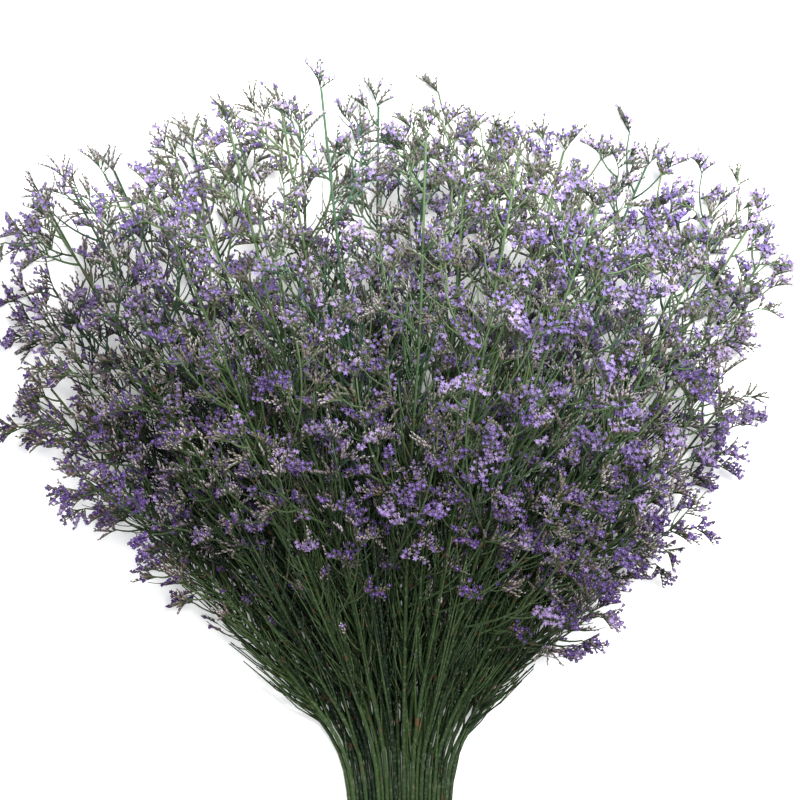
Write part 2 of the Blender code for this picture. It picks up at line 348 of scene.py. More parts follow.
def grow_bunch():
    """All the stems, grown branch by branch in turn, so that each finds room."""
    draw = random.Random(SEED)
    stems = []
    for layer, count in enumerate(STEMS_IN_LAYERS):
        for place in range(count):
            across = PITCH * (place - (count - 1) / 2)
            name = f"stem_{len(stems) + 1:02d}"
            stems.append(Stem(name, across, LAYER_RISE * layer, draw))
    room = Room()
    for owner, stem in enumerate(stems):
        room.add(stem.rods(), owner, is_main=True)
        room.add_spike(stem.top_spike, owner)
    for order in range(BRANCHES):
        for owner, stem in enumerate(stems):
            grow_branch(stem, owner, order, room, draw)
    return stems


def bunch_middle(stems):
    """The middle of the bunch's length and width, between its outermost florets and ends."""
    reaches = [stem.line[0][:2] for stem in stems]
    for stem in stems:
        branched = [spike for branch in stem.branches for spike in branch.spikes]
        for spike in [stem.top_spike, *branched]:
            reaches += [spike.point(*tooth)[:2] for tooth in TEETH]
    across, along = (np.min(reaches, axis=0) + np.max(reaches, axis=0)) / 2
    return np.array((across, along, 0.0))


# The finer growth, in millimetres, degrees and shares
LONGEST_SPIKE = 18.0
BUD_LENGTH = 4.9
BUD_RADIUS = 1.25
FLORET_RADIUS = 2.8
FORK_SCALE = 3.2  # length of the brown scale under a fork
LOWEST = 1.3  # middle height of a thin shoot that lies on the surface
CUT_RIM = 0.4  # thickness of a pale cut end
STEM_STEPS = 30  # rings of a main stem above that
SHOOT_GREEN, BUD_BROWN, PETAL_VIOLET = 0, 1, 2  # the order of a piece's materials

# How many there are, on a main stem if nothing else is said
FAN_SPIKES = 5  # fine spikes for one saw-edged spike of the model
FLORETS = 6  # in the two rows of a fine spike
LOW_SHOOTS = 8  # long bare shoots from low down
MAIN_TWIGS = 13  # flowering twigs
LEADERS = 2  # flowering twigs at its end
BARE_TWIGS = 84  # dark thin twigs, between the flowers
FINE_TWIGS = 20  # thin twigs, most of them bare
FLOWERING_EVERY = 4  # one fine twig in so many has a spike
BRANCH_TWIGS = 3  # flowering twigs of a branch
FINE_BRANCH_TWIGS = 4  # and its thin twigs
LONG_TWIG = 38.0  # length from which a twig has two fans

# Where the bunch's left and right differ
HALF_WIDTH = 312.0
RIGHT_SIDE = 20.0  # from where a stem's end is on the right
RIGHT_LEADER, LEFT_LEADER = 74.0, 22.0  # the longest leaders
THIN_LEFT, THIN_AHEAD = -30.0, 390.0  # to the left and ahead of here
THIN_STAY = 0.5  # only this share of the flowering twigs grows

# A fine spike
SPIKE_BOW = (0.08, 0.24)  # of its tip away from its facing side, in its lengths
BUD_TURN = (25, 60)  # of a bud to the left or right of the facing side
BUD_LEAN = (9, 25)  # of a shut bud out of the spike
OPEN_LEAN = 65  # further, with all its florets open
MOST_LEAN = 0.6  # the open share from which they lean no further

# The share of the florets that are open
STEM_OPENS = (0.06, 0.42)
RIGHT_OPENS = 0.08  # more at the bunch's right edge, less at the left
SHOOT_OPENS = 0.05  # on a low shoot
OPENS_AT_WAIST = 1.62  # times as many
OPENS_FALL = 0.0012  # less for each millimetre ahead of the waist
MIDDLE_DIP = 0.42  # and less about the bunch's middle line
DIP_WIDTH = 130.0
FULLY_OPEN = 0.6  # share of the open florets whose petals stand apart

# A fan of fine spikes, from its first spike to its last
FAN_ANGLES = (66, -6)  # from its axis towards its facing side
FAN_STARTS = (0.08, 0.40)  # along its axis, as shares of its length
FAN_TILT = 18  # out of its plane

# A bud is a three-sided spindle: its base, a ring below its middle, and its tip.
BUD_RING = 0.42
BUD_FACES = np.array(
    [(0, 1 + (k + 1) % 3, 1 + k) for k in range(3)]
    + [(4, 1 + k, 1 + (k + 1) % 3) for k in range(3)]
)

# The part attribute is higher on old, thick shoots, and rises outwards on flowers.
CUT_PART = 1.3  # of a stem's cut end
BUD_PART = np.array((0.0, BUD_RING, BUD_RING, BUD_RING, 1.0))
ENDS_PART = (0.12, 0.0)  # of a floret's eye and its tube's end
FLORET_ENDS = np.array((0.12, -0.95))  # their places in front of its middle, in its radii


def norm(vectors):
    """Unit vectors, along the last axis of an array."""
    return vectors / np.linalg.norm(vectors, axis=-1, keepdims=True)


def across(vectors):
    """For each vector, some unit vector square to it."""
    steep = np.abs(vectors[..., 2:]) > 0.9 * np.linalg.norm(vectors, axis=-1, keepdims=True)
    reference = np.where(steep, (1.0, 0.0, 0.0), (0.0, 0.0, 1.0))
    return norm(np.cross(vectors, reference))


def varied(values, spread, count, rng):
    """The values, each with its own normal error, kept from 0 to 1."""
    return np.clip(values + rng.normal(0, spread, count), 0, 1)


def square_to(vectors, directions):
    """Unit vectors square to the directions, as near as may be to the given ones."""
    return norm(vectors - directions * (vectors * directions).sum(axis=-1, keepdims=True))


def around(growth, turn):
    """Unit vectors square to the growth directions, turned about them from level."""
    level = across(growth)
    return level * np.cos(turn)[:, None] + np.cross(growth, level) * np.sin(turn)[:, None]


def on_parabola(first, middle, last, share):
    """Points on parabolas through three points: each has a weight of 1 at its own share
    of the way, 0, 0.5 or 1, and of 0 at the other two."""
    return (
        first * (2 * share - 1) * (share - 1)
        + middle * 4 * share * (1 - share)
        + last * share * (2 * share - 1)
    )


def parabolas(first, middle, last, steps):
    """Evenly spaced points on parabolas through three points, by curve and step."""
    share = np.linspace(0, 1, steps)[None, :, None]
    return on_parabola(first[:, None], middle[:, None], last[:, None], share)


class SmoothLine:
    """A main stem's line without corners: cubics of the place along the bunch, which
    pass every ring with the mean slope of the stretches on both sides."""

    def __init__(self, line):
        self.knots = np.array(line)
        self.slopes = np.gradient(self.knots, self.knots[:, 1], axis=0)

    def at(self, along):
        places = self.knots[:, 1]
        index = np.clip(np.searchsorted(places, along) - 1, 0, len(places) - 2)
        width = (places[index + 1] - places[index])[:, None]
        share = (along - places[index])[:, None] / width
        start, end = self.knots[index], self.knots[index + 1]
        leave, arrive = self.slopes[index] * width, self.slopes[index + 1] * width
        return (
            start * (2 * share**3 - 3 * share**2 + 1)
            + leave * (share**3 - 2 * share**2 + share)
            + end * (3 * share**2 - 2 * share**3)
            + arrive * (share**3 - share**2)
        )

    def growth(self, along):
        return norm(self.at(along + 1) - self.at(along - 1))


def new_object(name, data):
    thing = bpy.data.objects.new(name, data)
    bpy.context.scene.collection.objects.link(thing)
    return thing


class Piece:
    """Gathers the points, faces and shades of one stem's piece as whole arrays."""

    def __init__(self):
        self.points, self.tones, self.parts = [], [], []
        self.faces, self.kinds = [], []
        self.count = 0

    def add(self, points, faces, kind, tone, part):
        """Adds copies of a form: points by copy and corner, and one copy's faces. The
        materials read tone, each copy's own from 0 to 1, and part, each corner's."""
        copies, corners = points.shape[:2]
        starts = self.count + np.arange(copies) * corners
        self.points.append(points.reshape(-1, 3))
        self.tones.append(np.broadcast_to(np.reshape(tone, (-1, 1)), (copies, corners)).ravel())
        self.parts.append(np.broadcast_to(part, (copies, corners)).ravel())
        for group in faces:
            numbers = (group[None] + starts[:, None, None]).reshape(-1, group.shape[1])
            self.faces += numbers.tolist()
            self.kinds.append(np.full(len(numbers), kind))
        self.count += copies * corners

    def add_tubes(self, centres, radii, sides, tone, part):
        """Closed round tubes along curves, given by curve and step. A ring's points lie
        at equal angles on a circle square to the curve, which stays above the surface."""
        copies, steps = centres.shape[:2]
        radii = np.broadcast_to(radii, (copies, steps))
        centres = centres.copy()
        centres[..., 2] = np.maximum(centres[..., 2], radii)
        growth = norm(np.gradient(centres, axis=1))
        reference = across(centres[:, -1] - centres[:, 0])[:, None]
        side = norm(np.cross(growth, reference))
        up = np.cross(growth, side)
        angle = np.arange(sides) * 2 * math.pi / sides
        aside = side[:, :, None] * np.cos(angle)[:, None]
        circle = aside + up[:, :, None] * np.sin(angle)[:, None]
        points = centres[:, :, None] + circle * radii[..., None, None]
        ring = np.arange(sides)
        after = (ring + 1) % sides
        row = np.arange(steps - 1)[:, None] * sides
        corners = (row + ring, row + after, row + after + sides, row + ring + sides)
        walls = np.stack(corners, axis=-1).reshape(-1, 4)
        caps = np.stack((ring[::-1], ring + (steps - 1) * sides))
        part = np.repeat(np.broadcast_to(part, (copies, steps)), sides, axis=1)
        self.add(points.reshape(copies, -1, 3), (walls, caps), SHOOT_GREEN, tone, part)

    def build(self, name, middle, materials):
        """The mesh object, about the bunch's middle."""
        places = np.concatenate(self.points)
        places[:, 2] = np.maximum(places[:, 2], 0.0)
        mesh = bpy.data.meshes.new(name)
        mesh.from_pydata(((places - middle) * MM).tolist(), [], self.faces)
        kinds = np.concatenate(self.kinds).astype(np.int32)
        mesh.polygons.foreach_set("material_index", kinds)
        mesh.polygons.foreach_set("use_smooth", kinds == SHOOT_GREEN)
        for attribute, values in (("tone", self.tones), ("part", self.parts)):
            layer = mesh.attributes.new(attribute, "FLOAT", "POINT")
            layer.data.foreach_set("value", np.concatenate(values).astype(np.float32))
        for material in materials:
            mesh.materials.append(material)
        return new_object(name, mesh)


def buds(roots, growth, size):
    """Spindles from their roots along their growth directions."""
    side = across(growth)
    up = np.cross(growth, side)
    length = (BUD_LENGTH * size)[:, None]
    radius = (BUD_RADIUS * size)[:, None]
    middle = roots + growth * length * BUD_RING
    ring = [
        middle + (side * math.cos(angle) + up * math.sin(angle)) * radius
        for angle in np.arange(3) * 2 * math.pi / 3
    ]
    return np.stack([roots, *ring, roots + growth * length], axis=1)


class Floret:
    """A shallow funnel of petals: an eye in front, the end of its tube behind, and an
    edge round them that has its own reach, lift and shade at every point, as shares of
    the floret's radius."""

    def __init__(self, reach, lift, shade):
        count = len(reach)
        self.angles = np.arange(count) * 2 * math.pi / count
        self.reach = np.array(reach)
        self.lift = np.array(lift)
        self.part = np.array((*ENDS_PART, *shade))
        front = [(0, 2 + k, 2 + (k + 1) % count) for k in range(count)]
        back = [(1, 2 + (k + 1) % count, 2 + k) for k in range(count)]
        self.faces = np.array(front + back)

    def copies(self, centres, growth, size, roll):
        """Florets that open along their growth directions, each with its own roll."""
        side = across(growth)
        up = np.cross(growth, side)
        angle = self.angles[None] + roll[:, None]
        out = side[:, None] * np.cos(angle)[..., None] + up[:, None] * np.sin(angle)[..., None]
        edge = out * self.reach[:, None] + growth[:, None] * self.lift[:, None]
        ends = growth[:, None] * FLORET_ENDS[:, None]
        radius = (FLORET_RADIUS * size)[:, None, None]
        return centres[:, None] + np.concatenate((ends, edge), axis=1) * radius


OPEN_FLORET = Floret((1.0, 0.5) * 5, (0.48, 0.20) * 5, (1.0, 0.62) * 5)
CUPPED_FLORET = Floret((0.66,) * 5, (0.62,) * 5, (0.85,) * 5)


def laid_up(roots, growth, facing, length):
    """Spikes that would dip into the surface lie along it instead and face up."""
    tips = roots + growth * length[:, None]
    low = np.minimum(roots[:, 2], tips[:, 2]) < 2 * LOWEST
    roots = roots.copy()
    roots[:, 2] = np.maximum(roots[:, 2], LOWEST)
    tips[:, 2] = np.maximum(tips[:, 2], 2 * LOWEST)
    facing = facing.copy()
    facing[low, 2] = np.abs(facing[low, 2]) + 0.5
    growth = norm(tips - roots)
    return roots, growth, square_to(facing, growth)


def chance_of_opening(opened, share, places):
    """How likely each floret is open: its spike's share, which rises along the spike,
    falls ahead of the waist, and has a bell-shaped dip about the bunch's middle line."""
    dip = MIDDLE_DIP * np.exp(-((places[:, 0] / DIP_WIDTH) ** 2))
    times = OPENS_AT_WAIST - OPENS_FALL * places[:, 1] - dip
    return np.repeat(opened, FLORETS) * (0.6 + 0.7 * share) * times


def add_spikes(piece, roots, growth, facing, length, opened, tone, rng):
    """Fine one-sided spikes, which bow away from their facing side.

    Their buds, some of them open, lean to its left and right in turn, further the more
    of them are open, and get smaller towards the tip.
    """
    roots, growth, facing = laid_up(roots, growth, facing, length)
    copies = len(roots)
    side = np.cross(growth, facing)
    bow = rng.uniform(*SPIKE_BOW, copies)[:, None]
    reach = length[:, None]
    middle = roots + growth * reach * 0.5 - facing * reach * bow * 0.25
    tips = roots + growth * reach * 0.97 - facing * reach * bow
    line = parabolas(roots, middle, tips, 3)
    piece.add_tubes(line, np.array((0.62, 0.55, 0.35)), 3, tone, np.array((0.5, 0.45, 0.4)))

    share = (np.arange(FLORETS) + 0.9) / FLORETS + rng.uniform(-0.03, 0.03, (copies, FLORETS))
    share = share[..., None]
    places = (
        roots[:, None]
        + (growth * reach)[:, None] * share * 0.95
        - (facing * reach * bow)[:, None] * share**2
    )
    along = norm(growth[:, None] - 2 * bow[:, None] * share * facing[:, None])
    turn = np.radians(rng.uniform(*BUD_TURN, (copies, FLORETS, 1)))
    hand = (np.arange(FLORETS) + rng.integers(0, 2, (copies, 1))) % 2
    turn *= np.where(hand, 1, -1)[..., None]
    out = facing[:, None] * np.cos(turn) + side[:, None] * np.sin(turn)
    further = OPEN_LEAN * np.minimum(opened, MOST_LEAN)[:, None, None]
    lean = np.radians(rng.uniform(*BUD_LEAN, turn.shape) + further)
    stand = (along * np.cos(lean) + out * np.sin(lean)).reshape(-1, 3)
    places = places.reshape(-1, 3)
    share = share.ravel()
    size = (1.12 - 0.40 * share) * rng.uniform(0.85, 1.15, len(share))
    shade = varied(np.repeat(tone, FLORETS), 0.16, len(share), rng)
    piece.add(buds(places, stand, size), (BUD_FACES,), BUD_BROWN, shade, BUD_PART)

    opens = rng.random(len(share)) < chance_of_opening(opened, share, places)
    upward = norm(stand + 0.7 * np.repeat(facing, FLORETS, axis=0))
    centres = places + stand * (BUD_LENGTH * size * 0.80)[:, None]
    roll = rng.uniform(0, 2 * math.pi, len(share))
    fully = rng.random(len(share)) < FULLY_OPEN
    for floret, which in ((OPEN_FLORET, opens & fully), (CUPPED_FLORET, opens & ~fully)):
        forms = floret.copies(centres[which], upward[which], size[which], roll[which])
        piece.add(forms, (floret.faces,), PETAL_VIOLET, shade[which], floret.part)


def add_fans(piece, roots, axis, facing, length, height, opened, tone, rng):
    """Fans of fine spikes that fill the triangle between an axis and its facing side.

    They stand from nearly square to the axis to along it, each as long as the triangle
    is wide at its angle, and their flowers face the tip and the outer side.
    """
    shape = (len(roots), FAN_SPIKES)
    angle = np.radians(np.linspace(*FAN_ANGLES, FAN_SPIKES) + rng.uniform(-9, 9, shape))
    start = np.linspace(*FAN_STARTS, FAN_SPIKES) + rng.uniform(-0.05, 0.05, shape)
    tilt = np.radians(rng.normal(0, FAN_TILT, shape))[..., None]
    reach = axis * length[:, None]
    stalk = parabolas(roots, roots + reach * 0.22, roots + reach * 0.44, 3)
    piece.add_tubes(stalk, np.array((0.55, 0.50, 0.38)), 3, tone, np.array((0.3, 0.2, 0.1)))
    cosine, sine = np.cos(angle)[..., None], np.sin(angle)[..., None]
    begin = roots[:, None] + axis[:, None] * (start * length[:, None])[..., None]
    side = np.cross(axis, facing)[:, None]
    axis, facing = axis[:, None], facing[:, None]
    growth = (axis * cosine + facing * sine) * np.cos(tilt) + side * np.sin(tilt)
    rows = axis + 0.6 * facing + np.array((0, 0, 0.25)) + 0.15 * side
    to_edge = height[:, None] * 1.10 / np.maximum(np.sin(angle), 0.05)
    to_end = (1.03 - start) * length[:, None] / np.maximum(np.cos(angle), 0.2)
    reach = np.minimum(np.minimum(to_edge, to_end), LONGEST_SPIKE) * rng.uniform(0.84, 1.05, shape)
    rows = np.broadcast_to(rows, growth.shape)
    begin, growth, rows = (array.reshape(-1, 3) for array in (begin, growth, rows))
    opened, tone = np.repeat(opened, FAN_SPIKES), np.repeat(tone, FAN_SPIKES)
    add_spikes(piece, begin, growth, square_to(rows, growth), reach.ravel(), opened, tone, rng)


def add_fork_scales(piece, roots, growth, rng):
    """A small brown scale against the stem under each fork."""
    size = rng.uniform(0.8, 1.2, len(roots)) * FORK_SCALE / BUD_LENGTH
    forms = buds(roots - growth * 1.2, growth, size)
    piece.add(forms, (BUD_FACES,), BUD_BROWN, np.full(len(roots), 0.02), BUD_PART * 0.3)


def add_bent(piece, roots, growth, outward, length, tone, *, spread, steps, sides, radii, part):
    """Twigs that leave outward and bend back to their parent's way. Radii and part run
    evenly from their first value to their second."""
    middles = roots + norm(growth + outward * spread) * length[:, None] * 0.5
    tips = middles + norm(growth + outward * spread * 0.45) * length[:, None] * 0.5
    middles[:, 2] = np.maximum(middles[:, 2], LOWEST)
    tips[:, 2] = np.maximum(tips[:, 2], LOWEST)
    line = parabolas(roots, middles, tips, steps)
    piece.add_tubes(line, np.linspace(*radii, steps), sides, tone, np.linspace(*part, steps))
    return line, middles, tips


def add_twigs(piece, roots, growth, outward, length, opened, tone, rng):
    """Flowering twigs, which end in a fan of spikes. Long ones carry a second one on the
    other side of their middle, and some on the bunch's far left are left out."""
    stay = rng.random(len(roots)) < THIN_STAY
    stay |= (roots[:, 0] > THIN_LEFT) | (roots[:, 1] < THIN_AHEAD)
    stay[0] = True
    roots, growth, outward, length, opened, tone = (
        values[stay] for values in (roots, growth, outward, length, opened, tone)
    )
    line, middles, tips = add_bent(
        piece, roots, growth, outward, length, tone,
        spread=0.95, steps=5, sides=4, radii=(0.85, 0.55), part=(0.5, 0.35),
    )
    add_fork_scales(piece, roots, growth, rng)
    ahead = norm(tips - middles)
    long = np.flatnonzero(length > LONG_TWIG)
    which = np.append(np.arange(len(roots)), long)
    starts = np.concatenate((tips - ahead, middles[long]))
    sides = np.concatenate((outward, -outward[long]))
    ahead = ahead[which]
    axis = norm(ahead + sides * rng.uniform(0.3, 1.3, (len(which), 1)))
    facing = square_to(ahead + rng.normal(0, 0.35, sides.shape), axis)
    size = rng.uniform(0.75, 1.0, len(which))
    fan_length, fan_height = SPIKE_LENGTH * size * 0.9, SPIKE_HEIGHT * size
    add_fans(piece, starts, axis, facing, fan_length, fan_height, opened[which], tone[which], rng)


def add_bare_twigs(piece, roots, growth, outward, length, opened, tone, rng):
    """Thin twigs without flowers, deep in the bunch, so opened isn't used."""
    shade = varied(tone, 0.3, len(tone), rng)
    add_bent(
        piece, roots, growth, outward, length, shade,
        spread=0.42, steps=3, sides=3, radii=(0.75, 0.45), part=(1.0, 0.8),
    )


def add_fine_twigs(piece, roots, growth, outward, length, opened, tone, rng):
    """Thin twigs, one in so many with a small spike at the end."""
    line, middles, tips = add_bent(
        piece, roots, growth, outward, length, tone,
        spread=0.8, steps=4, sides=3, radii=(0.52, 0.30), part=(0.4, 0.1),
    )
    flowers = slice(0, None, FLOWERING_EVERY)
    axis = norm(tips - middles)[flowers]
    facing = square_to(rng.normal(0, 1, axis.shape) + (0, 0, 0.6), axis)
    reach = rng.uniform(9, 15, len(axis))
    starts = tips[flowers] - axis
    add_spikes(piece, starts, axis, facing, reach, opened[flowers], tone[flowers], rng)


def add_low_shoots(piece, stem, curve, tone, rng):
    """Long bare shoots from low on a main stem, which fill the bunch's neck."""
    places = stem.top * rng.uniform(0.0, 0.30, LOW_SHOOTS)
    roots, growth = curve.at(places), curve.growth(places)
    outward = around(growth, rng.uniform(0, 2 * math.pi, LOW_SHOOTS))
    length = stem.top * rng.uniform(0.20, 0.42, LOW_SHOOTS)
    shade = varied(tone, 0.3, LOW_SHOOTS, rng)
    line, middles, tips = add_bent(
        piece, roots, growth, outward, length, shade,
        spread=0.14, steps=8, sides=4, radii=(1.05, 0.45), part=(0.9, 0.3),
    )
    twigs = (4, 5, 6)  # the steps that they grow from
    points = line[:, twigs].reshape(-1, 3)
    growth = norm(np.repeat(line[:, -1] - line[:, 0], len(twigs), axis=0))
    count = len(points)
    outward = around(growth, rng.uniform(0, 2 * math.pi, count))
    length = rng.uniform(14, 34, count)
    opened, tone = np.full(count, SHOOT_OPENS), np.repeat(shade, len(twigs))
    add_fine_twigs(piece, points, growth, outward, length, opened, tone, rng)


def dress_main_stem(piece, stem, curve, tone, opened, rng):
    """The main stem and its twigs, which leave in turn from either side and get shorter
    along it. The table gives their number, the shares of the stem that they grow
    between, their least and greatest length, and what grows them."""
    start = stem.line[0][1]
    along = np.append(start, np.linspace(start + CUT_RIM, stem.top, STEM_STEPS))
    part = np.append(CUT_PART, np.linspace(1.0, 0.6, STEM_STEPS))
    radii = np.array([stem.radius(place) for place in along])
    piece.add_tubes(curve.at(along)[None], radii[None], 9, np.array([tone]), part)
    right = stem.top_spike.root[0] > RIGHT_SIDE
    leader = RIGHT_LEADER if right else LEFT_LEADER
    for count, low, high, shortest, longest, add in (
        (LEADERS, 0.90, 0.97, leader / 2, leader, add_twigs),
        (MAIN_TWIGS, 0.40, 0.95 if right else 0.84, 12, 45, add_twigs),
        (BARE_TWIGS, 0.15, 0.70, 24, 62, add_bare_twigs),
        (FINE_TWIGS, 0.34, 0.88 if right else 0.74, 14, 48, add_fine_twigs),
    ):
        places = stem.top * (np.linspace(low, high, count) + rng.uniform(-0.02, 0.02, count))
        roots, growth = curve.at(places), curve.growth(places)
        turn = np.arange(count) * math.pi + rng.uniform(-0.9, 0.9, count)
        length = rng.uniform(shortest, longest, count) * (1.2 - 0.4 * places / stem.top)
        opens = varied(opened, 0.25, count, rng)
        add(piece, roots, growth, around(growth, turn), length, opens, np.full(count, tone), rng)


def dress_branches(piece, stem, curve, tone, opened, rng):
    """The branches, their twigs, and a fan in place of each saw-edged spike. The table
    gives the twigs' number, their least and greatest length, and what grows them."""
    lines = np.array([branch.line for branch in stem.branches])
    roots = curve.at(lines[:, 0, 1])
    bends, tips = lines[:, 1], lines[:, 2]
    tones = varied(tone, 0.1, len(lines), rng)
    line = parabolas(roots, bends, tips, 12)
    piece.add_tubes(line, np.linspace(0.98, 0.60, 12), 6, tones, np.linspace(0.75, 0.35, 12))
    add_fork_scales(piece, roots, norm(bends - roots), rng)
    for count, shortest, longest, add in (
        (BRANCH_TWIGS, 11, 24, add_twigs),
        (FINE_BRANCH_TWIGS, 11, 30, add_fine_twigs),
    ):
        share = np.linspace(0.28, 0.88, count) + rng.uniform(-0.06, 0.06, (len(lines), count))
        through = roots[:, None], bends[:, None], tips[:, None]
        points = on_parabola(*through, share[..., None]).reshape(-1, 3)
        growth = np.repeat(norm(tips - roots), count, axis=0)
        turn = np.arange(len(points)) * math.pi + rng.uniform(-0.9, 0.9, len(points))
        opens = varied(opened, 0.25, len(points), rng)
        length = rng.uniform(shortest, longest, len(points))
        shade = np.repeat(tones, count)
        add(piece, points, growth, around(growth, turn), length, opens, shade, rng)
    spikes, on_curve = [], []
    for branch, root in zip(stem.branches, roots):
        start, bend, tip = branch.line
        whole = 2 * np.linalg.norm(bend - start)
        for spike in branch.spikes:
            share = 1 - np.linalg.norm(tip - spike.root) / whole
            spikes.append(spike)
            on_curve.append(on_parabola(root, bend, tip, share))
    add_model_spikes(piece, np.array(on_curve), spikes, tone, opened, rng)


def add_model_spikes(piece, roots, spikes, tone, opened, rng):
    """A fan for each saw-edged spike of the model, from its root on the smooth line."""
    count = len(spikes)
    axis, facing, length, height = (
        np.array([getattr(spike, name) for spike in spikes])
        for name in ("axis", "facing", "length", "height")
    )
    opens = varied(opened, 0.25, count, rng)
    tones = varied(tone, 0.15, count, rng)
    add_fans(piece, roots, axis, facing, length, height, opens, tones, rng)


def dress_stem(stem, number, middle, materials):
    """The finer piece that stands for one stem of the model."""
    rng = np.random.default_rng(SEED * 100 + number)
    piece = Piece()
    curve = SmoothLine(stem.line)
    tone = rng.uniform(0, 1)
    opened = rng.uniform(*STEM_OPENS) + RIGHT_OPENS * stem.top_spike.root[0] / HALF_WIDTH
    dress_main_stem(piece, stem, curve, tone, opened, rng)
    add_low_shoots(piece, stem, curve, tone, rng)
    if stem.branches:
        dress_branches(piece, stem, curve, tone, opened, rng)
    add_model_spikes(piece, stem.top_spike.root[None], [stem.top_spike], tone, opened, rng)
    spray = piece.build(stem.name.replace("stem", "spray"), middle, materials)
    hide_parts(stem.name)
    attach(spray, "root")


DRY_SHEEN = 0.18  # a dull surface's share of the usual reflection
LIGHT_ABOVE, LIGHT_ALONG, LIGHT_ASIDE = 2.0, 2.9, 0.8  # how the painted light rises with each metre up, ahead and to the right


class Value:
    """A socket of a shader tree, so that shader sums are written as plain sums."""

    def __init__(self, tree, socket):
        self.tree = tree
        self.socket = socket

    def node(self, kind, inputs=(), output=0, **settings):
        """Any node: its type, its settings and its inputs by name or number."""
        made = self.tree.nodes.new(kind)
        for name, setting in settings.items():
            setattr(made, name, setting)
        feed(made, dict(inputs))
        return Value(self.tree, made.outputs[output])

    def sum(self, operation, other):
        return self.node("ShaderNodeMath", {0: self, 1: other}, operation=operation)

    def __add__(self, other):
        return self.sum("ADD", other)

    def __mul__(self, other):
        return self.sum("MULTIPLY", other)

    __radd__, __rmul__ = __add__, __mul__

    def kept(self, low=0.0, high=1.0):
        """The value's share of the way between two limits, from 0 to 1."""
        return self.node("ShaderNodeMapRange", {"Value": self, "From Min": low, "From Max": high})

    def blend(self, first, second):
        """A colour from the first to the second, as this value goes from 0 to 1."""
        inputs = {0: self, 6: first, 7: second}
        return self.node("ShaderNodeMix", inputs, output=2, data_type="RGBA")


def feed(node, inputs):
    """Gives a node's inputs, by name or number, their values or plain numbers."""
    for name, value in inputs.items():
        if isinstance(value, Value):
            value.tree.links.new(value.socket, node.inputs[name])
        else:
            node.inputs[name].default_value = value


class Paint:
    """A material whose values are read from the piece's attributes."""

    def __init__(self, name):
        self.material = bpy.data.materials.new(name)
        self.material.use_nodes = True
        self.tree = self.material.node_tree
        self.shader = self.tree.nodes["Principled BSDF"]
        self.shader.inputs["Specular IOR Level"].default_value = DRY_SHEEN
        self.start = Value(self.tree, None)
        self.place = self.start.node("ShaderNodeTexCoord", output="Object")

    def attribute(self, name):
        return self.start.node("ShaderNodeAttribute", output="Fac", attribute_name=name)

    def noise(self, scale, detail=2.0):
        """Noise on the object's own coordinates, with a scale in features to the metre."""
        inputs = {"Vector": self.place, "Scale": scale, "Detail": detail}
        return self.start.node("ShaderNodeTexNoise", inputs, output="Fac")

    def painted_light(self):
        """Painted light and shade: 0 in painted shade at the bunch's neck, low down and on the
        left, to 1 in painted light at its outer flowers, up high and on the right: a weighted sum
        of the place's coordinates."""
        inputs = {"Vector": self.place}
        aside, along, above = (
            self.start.node("ShaderNodeSeparateXYZ", inputs, output=axis) for axis in range(3)
        )
        # painted shade towards the floor, the neck and the left; painted light up, ahead and to
        # the right
        return (above * LIGHT_ABOVE + along * LIGHT_ALONG + aside * LIGHT_ASIDE).kept()

    def set(self, **inputs):
        named = {name.replace("_", " ").title(): value for name, value in inputs.items()}
        feed(self.shader, named)
        return self.material

    def skin(self, base, rough, grain, strength, depth):
        """The material with its colour, its roughness and a fine grain of bumps."""
        inputs = {"Height": self.noise(grain, 1.0), "Strength": strength, "Distance": depth}
        normal = self.start.node("ShaderNodeBump", inputs, output="Normal")
        return self.set(base_color=base, roughness=rough, normal=normal)


def colour(red, green, blue):
    """A colour as it shows on a screen, from 0 to 255, as the shader's linear one."""
    shares = np.array((red, green, blue)) / 255
    linear = np.where(shares <= 0.04045, shares / 12.92, ((shares + 0.055) / 1.055) ** 2.4)
    return (*linear.tolist(), 1.0)


# Where there are two, they are of growth whose tone is 0 and 1.
# The stems in painted shade, deep and low in the bunch, and in painted light, up and out towards
# the flowers
SHADED_STEM = colour(44, 63, 31), colour(8, 26, 10)
LIT_STEM = colour(94, 120, 76), colour(46, 94, 70)
THIN_STEM = colour(142, 148, 120), colour(116, 140, 126)
STEM_FLECKS = colour(120, 134, 100)
STEM_BROWN = colour(96, 62, 44)
CUT_FACE = colour(176, 166, 124)
BUD = colour(74, 57, 48), colour(68, 49, 66)
# A bud lightened and greyed by painted light, up, out and to the right
LIT_BUD = colour(92, 92, 79)
GREEN_BUD = colour(62, 74, 44)
DRY_TIP = colour(218, 204, 218)
# The petals in painted shade, deep in the bunch, and in painted light, out at the flowers
SHADED_PETAL = colour(52, 30, 86), colour(88, 62, 128)
LIT_PETAL = colour(128, 110, 174), colour(184, 168, 212)
FADED_PETAL = colour(202, 182, 214)
PETAL_RIM = colour(172, 156, 206)
FLORET_TUBE = colour(170, 156, 178)
FLOOR_WHITE = colour(242, 242, 242)


